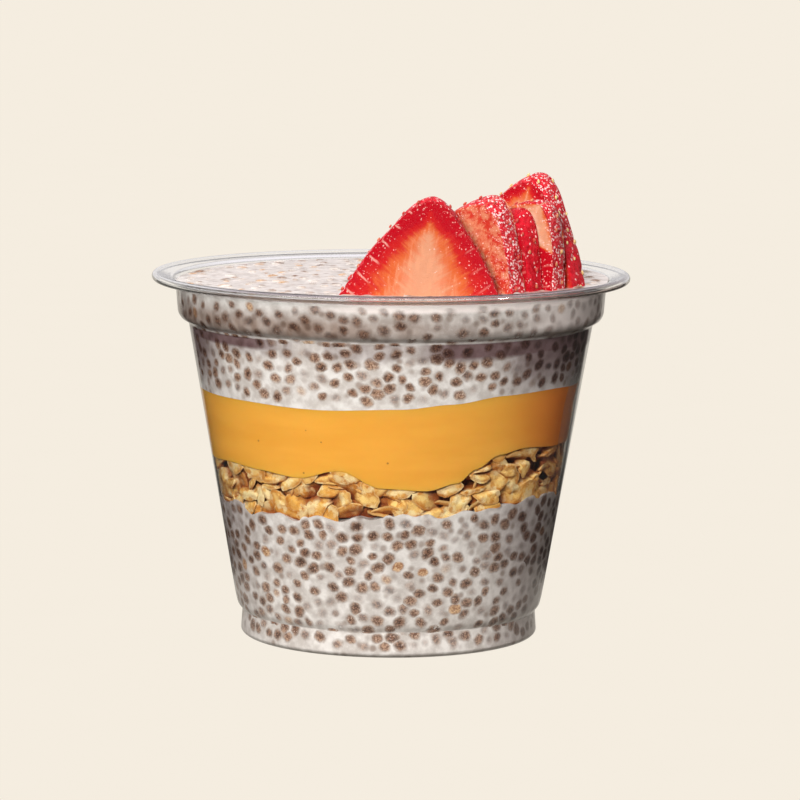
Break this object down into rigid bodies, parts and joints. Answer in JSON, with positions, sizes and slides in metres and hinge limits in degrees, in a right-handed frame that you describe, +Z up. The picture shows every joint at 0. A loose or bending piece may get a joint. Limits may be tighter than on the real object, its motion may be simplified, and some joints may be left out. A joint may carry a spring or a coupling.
{
  "type": "chia pudding",
  "caption": "Layered chia pudding in a clear plastic cup: chia pudding, oats, nut butter and chia pudding again, with a fan of strawberry slices standing in the top.",
  "frame": {"origin": "centre of the cup's foot, in the plane it stands on", "axes": "+Z up along the cup's axis; the front seen in the picture faces -Y and +X is to the right of it"},
  "size_m": [0.092, 0.092, 0.09],
  "materials": {
    "clear_plastic": "clear polished PET, thin-walled",
    "chia_pudding": "moist milky gel full of swollen brown seeds",
    "oats": "dry toasted flakes",
    "nut_butter": "smooth, pressed against the clear wall",
    "strawberry": "wet cut flesh, paler at the core"
  },
  "bodies": {
    "root": {"cup": "clear_plastic", "chia_bottom": "chia_pudding", "oats": "oats", "nut_butter": "nut_butter", "chia_top": "chia_pudding", "strawberry_1": "strawberry", "strawberry_2": "strawberry", "strawberry_3": "strawberry", "strawberry_4": "strawberry", "strawberry_5": "strawberry"}
  },
  "joints": []
}
